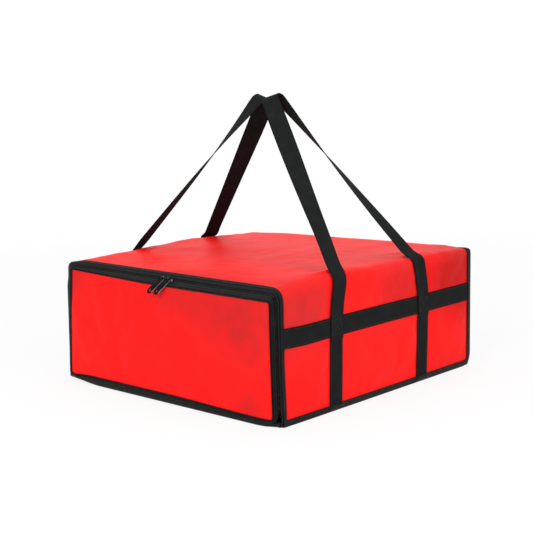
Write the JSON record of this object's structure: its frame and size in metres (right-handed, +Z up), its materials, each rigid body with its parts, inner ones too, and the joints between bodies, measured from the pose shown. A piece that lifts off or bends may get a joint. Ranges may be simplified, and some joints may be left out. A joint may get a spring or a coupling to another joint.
{
  "type": "pizza delivery bag",
  "caption": "Soft insulated box bag with a zipped drop-down front, side webbing and a pair of raised carry handles.",
  "frame": {"origin": "on the floor below the middle of the box, in the underside of the bottom panel", "axes": "+Z up, -Y out of the zipped front, +X to the right of someone who faces the front"},
  "size_m": [0.5276, 0.5538, 0.5148],
  "materials": {
    "red_cloth": "satin",
    "foam": "matte",
    "foil_lining": "satin",
    "binding": "matte",
    "webbing": "matte",
    "zip_nylon": "satin",
    "zip_metal": "gloss"
  },
  "bodies": {
    "bag": {"outer_wrap": "red_cloth", "foam_wrap": "foam", "liner_wrap": "foil_lining", "back_outer": "red_cloth", "back_foam": "foam", "back_liner": "foil_lining", "bottom_outer": "red_cloth", "bottom_foam": "foam", "bottom_liner": "foil_lining", "back_binding": "binding", "bottom_binding_left": "binding", "bottom_binding_right": "binding", "front_opening_binding": "binding", "hinge_strip": "binding", "zip_tape_body": "zip_nylon", "zip_coil_body": "zip_nylon", "zip_end_stop_left": "zip_metal", "zip_end_stop_right": "zip_metal", "band_left": "webbing", "band_right": "webbing", "strap_front_left": "webbing", "strap_rear_left": "webbing", "strap_front_right": "webbing", "strap_rear_right": "webbing"},
    "flap": {"flap_outer": "red_cloth", "flap_foam": "foam", "flap_liner": "foil_lining", "flap_binding": "binding", "zip_tape_flap": "zip_nylon", "zip_coil_flap": "zip_nylon"},
    "slider_left": {"slider_left": "zip_metal"},
    "slider_right": {"slider_right": "zip_metal"},
    "pull_left": {"pull_left": "zip_metal"},
    "pull_right": {"pull_right": "zip_metal"},
    "handle_left": {"handle_left": "webbing"},
    "handle_right": {"handle_right": "webbing"}
  },
  "joints": [
    {"name": "flap_open", "type": "hinge", "parent": "bag", "child": "flap", "pos_m": [0, -0.267, 0.007], "axis": [1, 0, 0], "range_deg": [0, 86]},
    {"name": "slider_left_travel", "type": "slide", "parent": "flap", "child": "slider_left", "axis": [1, 0, 0], "range_m": [-0.224, 0]},
    {"name": "slider_right_travel", "type": "slide", "parent": "flap", "child": "slider_right", "axis": [1, 0, 0], "range_m": [0, 0.204]},
    {"name": "pull_left_lift", "type": "hinge", "parent": "slider_left", "child": "pull_left", "pos_m": [0.002, -0.26305, 0.21398], "axis": [-0.8572, 0.3642, 0.3642], "range_deg": [0, 160]},
    {"name": "pull_right_lift", "type": "hinge", "parent": "slider_right", "child": "pull_right", "pos_m": [0.018, -0.26305, 0.21398], "axis": [-0.866, 0.3536, 0.3536], "range_deg": [0, 160]},
    {"name": "handle_left_swing", "type": "hinge", "parent": "bag", "child": "handle_left", "pos_m": [-0.26375, 0, 0.15825], "axis": [0, -1, 0], "range_deg": [0, 140]},
    {"name": "handle_right_swing", "type": "hinge", "parent": "bag", "child": "handle_right", "pos_m": [0.26375, 0, 0.15825], "axis": [0, 1, 0], "range_deg": [0, 140]}
  ]
}
